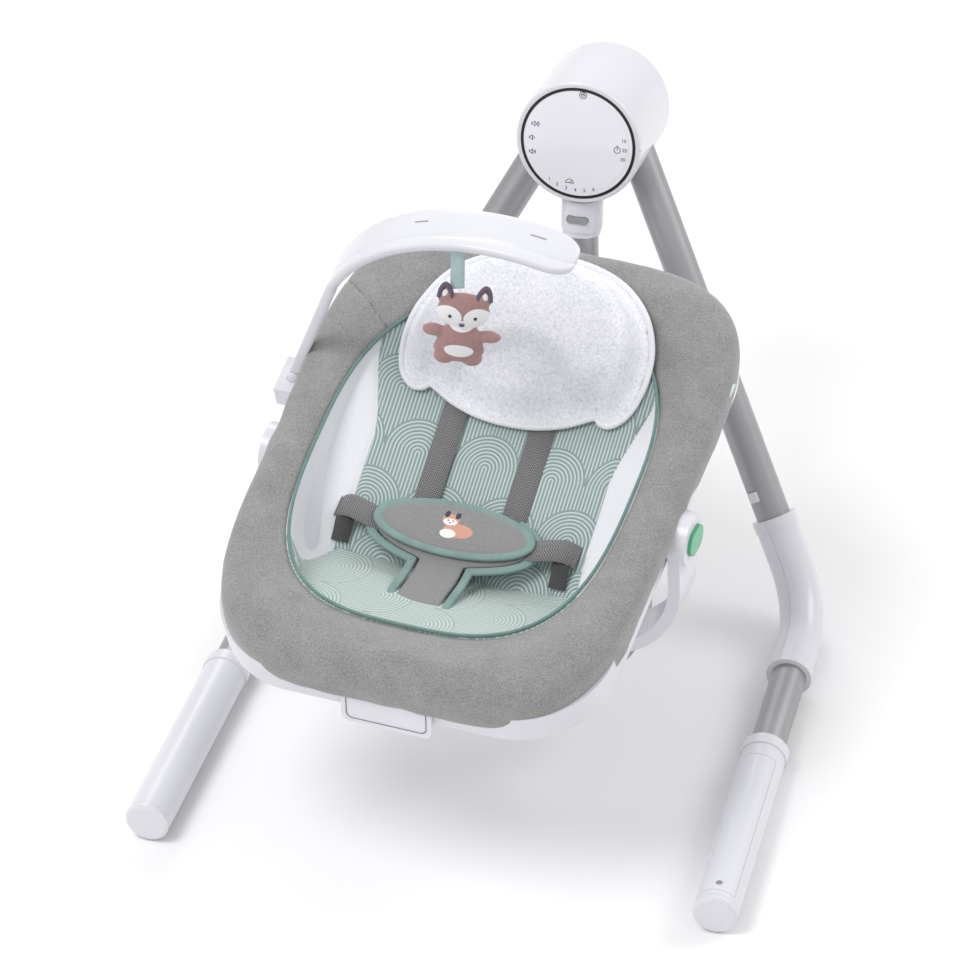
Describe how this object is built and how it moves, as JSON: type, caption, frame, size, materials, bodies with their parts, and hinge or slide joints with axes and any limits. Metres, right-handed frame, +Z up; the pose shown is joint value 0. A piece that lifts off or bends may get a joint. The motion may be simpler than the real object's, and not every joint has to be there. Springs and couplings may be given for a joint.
{
  "type": "baby swing",
  "caption": "Powered baby swing: padded reclining seat with harness on a swivel carrier, hung from one bent arm under a round hub on splayed legs, with a toy bar.",
  "frame": {"origin": "on the floor, under the centre of the bounding box", "axes": "+X towards the seated child's left, +Y towards the hub at the back, +Z up"},
  "size_m": [0.614, 0.7823, 0.6135],
  "materials": {
    "white_plastic": "white, semi-gloss",
    "panel_white": "white, glossy",
    "black_plastic": "black, satin",
    "grey_plastic": "grey, matte",
    "green_plastic": "green, semi-gloss",
    "board_green": "green circuit board",
    "copper": "wound wire",
    "tube_metal": "silver grey, satin",
    "steel": "bare",
    "magnet": "dark",
    "battery_skin": "printed sleeve, plain",
    "pad_rubber": "matte",
    "rim_fabric": "grey melange knit",
    "piping_fabric": "teal, woven",
    "liner_fabric": "sage green with pale arches",
    "pillow_fleece": "white fleece",
    "webbing": "grey twill",
    "pad_fabric": "grey knit",
    "ribbon": "pale teal satin",
    "plush": "dusty rose plush",
    "tag_white": "white, blank"
  },
  "bodies": {
    "frame": {"hub_rear_housing": "white_plastic", "hub_rear_cover": "white_plastic", "hub_screws": "steel", "hub_front_bezel": "white_plastic", "panel_ring": "black_plastic", "control_panel": "panel_white", "circuit_board": "board_green", "pivot_bearings": "steel", "speaker": "black_plastic", "power_inlet": "black_plastic", "drive_coil": "copper", "leg_tube_left": "tube_metal", "leg_tube_right": "tube_metal", "elbow_left_outer": "white_plastic", "elbow_left_inner": "white_plastic", "elbow_right_outer": "white_plastic", "elbow_right_inner": "white_plastic", "floor_tube_left": "tube_metal", "floor_tube_right": "tube_metal", "foot_sleeve_left": "white_plastic", "battery_case_right": "white_plastic", "batteries": "battery_skin", "battery_contacts": "steel", "foot_end_caps": "white_plastic", "floor_pads": "pad_rubber"},
    "battery_lid": {"battery_door": "white_plastic", "door_screw": "steel"},
    "leg_snap_left": {"leg_button_left": "white_plastic"},
    "leg_snap_right": {"leg_button_right": "white_plastic"},
    "swing": {"pivot_shaft": "steel", "drive_magnet": "magnet", "arm_collar": "white_plastic", "swing_arm_upper": "tube_metal", "swing_arm_lower": "tube_metal", "swivel_base": "white_plastic"},
    "arm_latch": {"arm_release": "grey_plastic"},
    "arm_snap": {"arm_button": "white_plastic"},
    "carrier": {"turntable": "white_plastic", "seat_yoke": "white_plastic", "recline_pins": "steel"},
    "release_left": {"seat_release_left": "green_plastic"},
    "release_right": {"seat_release_right": "green_plastic"},
    "seat": {"seat_shell": "white_plastic", "badge_plate": "white_plastic", "rim_cushion": "rim_fabric", "rim_piping": "piping_fabric", "seat_liner": "liner_fabric", "headrest": "pillow_fleece", "shoulder_strap_left": "webbing", "shoulder_strap_right": "webbing", "waist_strap_left": "webbing", "waist_strap_right": "webbing", "lap_pad": "pad_fabric", "lap_pad_piping": "piping_fabric", "crotch_strap": "pad_fabric", "buckle": "black_plastic", "side_tag": "tag_white"},
    "toy_arch": {"toy_bar": "white_plastic"},
    "toy": {"toy_ribbon": "ribbon", "toy_plush": "plush"}
  },
  "joints": [
    {"name": "swing_pivot", "type": "hinge", "parent": "frame", "child": "swing", "pos_m": [0, 0.25065, 0.454], "axis": [0, -0.9703, 0.2419], "range_deg": [-12, 12]},
    {"name": "seat_swivel", "type": "hinge", "parent": "swing", "child": "carrier", "pos_m": [-0.008, -0.15935, 0.12], "axis": [0, 0, 1], "range_deg": [-90, 90]},
    {"name": "seat_recline", "type": "hinge", "parent": "carrier", "child": "seat", "pos_m": [-0.00429, -0.12153, 0.3], "axis": [0.9952, -0.0976, 0], "range_deg": [0, 12]},
    {"name": "toy_bar_turn", "type": "hinge", "parent": "seat", "child": "toy_arch", "pos_m": [-0.22376, -0.00287, 0.30906], "axis": [-0.0253, -0.2576, 0.9659], "range_deg": [-90, 0]},
    {"name": "toy_swing", "type": "hinge", "parent": "toy_arch", "child": "toy", "pos_m": [-0.01666, -0.1143, 0.58458], "axis": [0.0976, 0.9952, 0], "range_deg": [-25, 25]},
    {"name": "battery_door_lift", "type": "slide", "parent": "frame", "child": "battery_lid", "axis": [0, 0, 1], "range_m": [0, 0.03]},
    {"name": "leg_snap_left_press", "type": "slide", "parent": "frame", "child": "leg_snap_left", "axis": [-0.4223, 0.8788, -0.2221], "range_m": [0, 0.0022], "stiffness_N_per_m": 400, "springref_m": -0.0005},
    {"name": "leg_snap_right_press", "type": "slide", "parent": "frame", "child": "leg_snap_right", "axis": [0.4223, 0.8788, -0.2221], "range_m": [0, 0.0022], "stiffness_N_per_m": 400, "springref_m": -0.0005},
    {"name": "arm_snap_press", "type": "slide", "parent": "swing", "child": "arm_snap", "axis": [-0.9188, -0.3943, -0.018], "range_m": [0, 0.0022], "stiffness_N_per_m": 400, "springref_m": -0.0005},
    {"name": "arm_latch_press", "type": "slide", "parent": "swing", "child": "arm_latch", "axis": [0, 0.9703, -0.2419], "range_m": [0, 0.0022], "stiffness_N_per_m": 400, "springref_m": -0.0005},
    {"name": "release_left_press", "type": "slide", "parent": "carrier", "child": "release_left", "axis": [0.9952, -0.0976, 0], "range_m": [0, 0.003], "stiffness_N_per_m": 400, "springref_m": -0.0005},
    {"name": "release_right_press", "type": "slide", "parent": "carrier", "child": "release_right", "axis": [-0.9952, 0.0976, 0], "range_m": [0, 0.003], "stiffness_N_per_m": 400, "springref_m": -0.0005}
  ]
}
